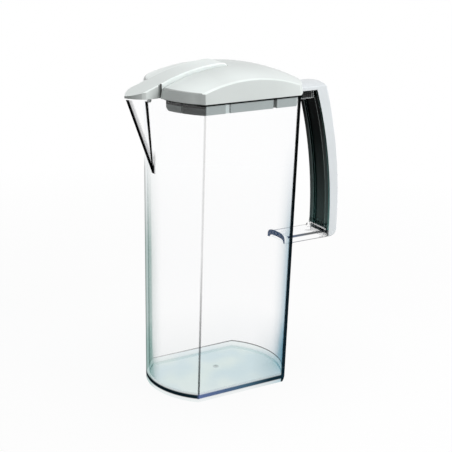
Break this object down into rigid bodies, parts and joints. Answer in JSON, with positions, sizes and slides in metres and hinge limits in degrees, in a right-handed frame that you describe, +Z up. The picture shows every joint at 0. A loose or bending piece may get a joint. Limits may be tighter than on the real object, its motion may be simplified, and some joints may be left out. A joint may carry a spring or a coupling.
{
  "type": "water pitcher",
  "caption": "Tall clear plastic jug with a V spout, a domed lid with a hinged pouring flap, and a clip-on side handle.",
  "frame": {"origin": "centre of the foot, on the table", "axes": "+Z up, the spout along -X, the handle along +X, the flat sides face -Y and +Y"},
  "size_m": [0.2025, 0.0958, 0.2738],
  "materials": {
    "clear_jug": "clear moulded styrene acrylonitrile, polished",
    "white_lid": "satin white polypropylene",
    "grey_liner": "satin pale grey polypropylene",
    "white_flap": "satin white polypropylene",
    "white_handle": "satin white polypropylene",
    "dark_grip": "glossy smoke-black plastic"
  },
  "bodies": {
    "jug": {"jug_body": "clear_jug", "handle_cover": "white_handle", "handle_grip": "dark_grip"},
    "lid": {"lid_cover": "white_lid", "lid_liner": "grey_liner"},
    "flap": {"spout_flap": "white_flap"}
  },
  "joints": [
    {"name": "lid_lift", "type": "slide", "parent": "jug", "child": "lid", "axis": [0, 0, 1], "range_m": [0, 0.12]},
    {"name": "flap_tilt", "type": "hinge", "parent": "lid", "child": "flap", "pos_m": [-0.0078, 0, 0.268], "axis": [0, 1, 0], "range_deg": [0, 65]}
  ]
}
